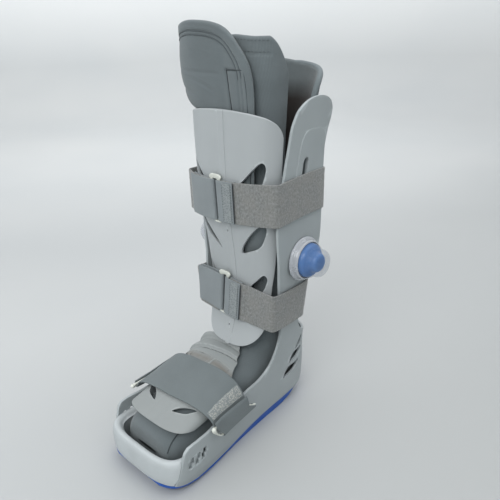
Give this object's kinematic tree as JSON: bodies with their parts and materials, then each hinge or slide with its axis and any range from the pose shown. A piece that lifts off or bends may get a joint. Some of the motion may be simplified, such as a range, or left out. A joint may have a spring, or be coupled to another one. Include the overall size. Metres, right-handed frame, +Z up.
{
  "type": "air walker boot",
  "caption": "Grey air walker boot for a lower leg and foot, with hard shell, shin and toe plates, padded knit liner, felt straps with rings, two blue air pumps and a blue rocker sole.",
  "frame": {"origin": "middle of the part's box in plan, on the floor under the outsole", "axes": "+Z up along the leg, -Y towards the toe, +X towards the side of the boot that shows in the picture"},
  "size_m": [0.179, 0.2779, 0.443],
  "materials": {
    "shell_plastic": "matte",
    "plate_plastic": "matte",
    "toe_plastic": "matte",
    "bumper_rubber": "matte",
    "sole_rubber": "matte",
    "liner_fabric": "matte",
    "strap_felt": "matte",
    "strap_web": "matte",
    "foot_web": "matte",
    "loop_plastic": "satin",
    "pump_clear": "gloss",
    "pump_blue": "gloss"
  },
  "bodies": {
    "root": {"rear_shell": "shell_plastic", "outsole": "sole_rubber", "toe_bumper": "bumper_rubber", "liner_boot": "liner_fabric", "liner_flap_left": "liner_fabric", "liner_flap_mid": "liner_fabric", "shin_plate": "plate_plastic", "toe_plate": "toe_plastic", "strap_upper": "strap_felt", "strap_upper_tab": "strap_web", "strap_upper_tab_left": "strap_web", "loop_upper": "loop_plastic", "strap_lower": "strap_felt", "strap_lower_tab": "strap_web", "strap_lower_tab_left": "strap_web", "loop_lower": "loop_plastic", "strap_foot": "foot_web", "loop_foot_right": "loop_plastic", "loop_foot_left": "loop_plastic", "pump_base_right": "pump_clear", "pump_bulb_right": "pump_blue", "pump_base_left": "pump_clear", "pump_bulb_left": "pump_blue"}
  },
  "joints": []
}
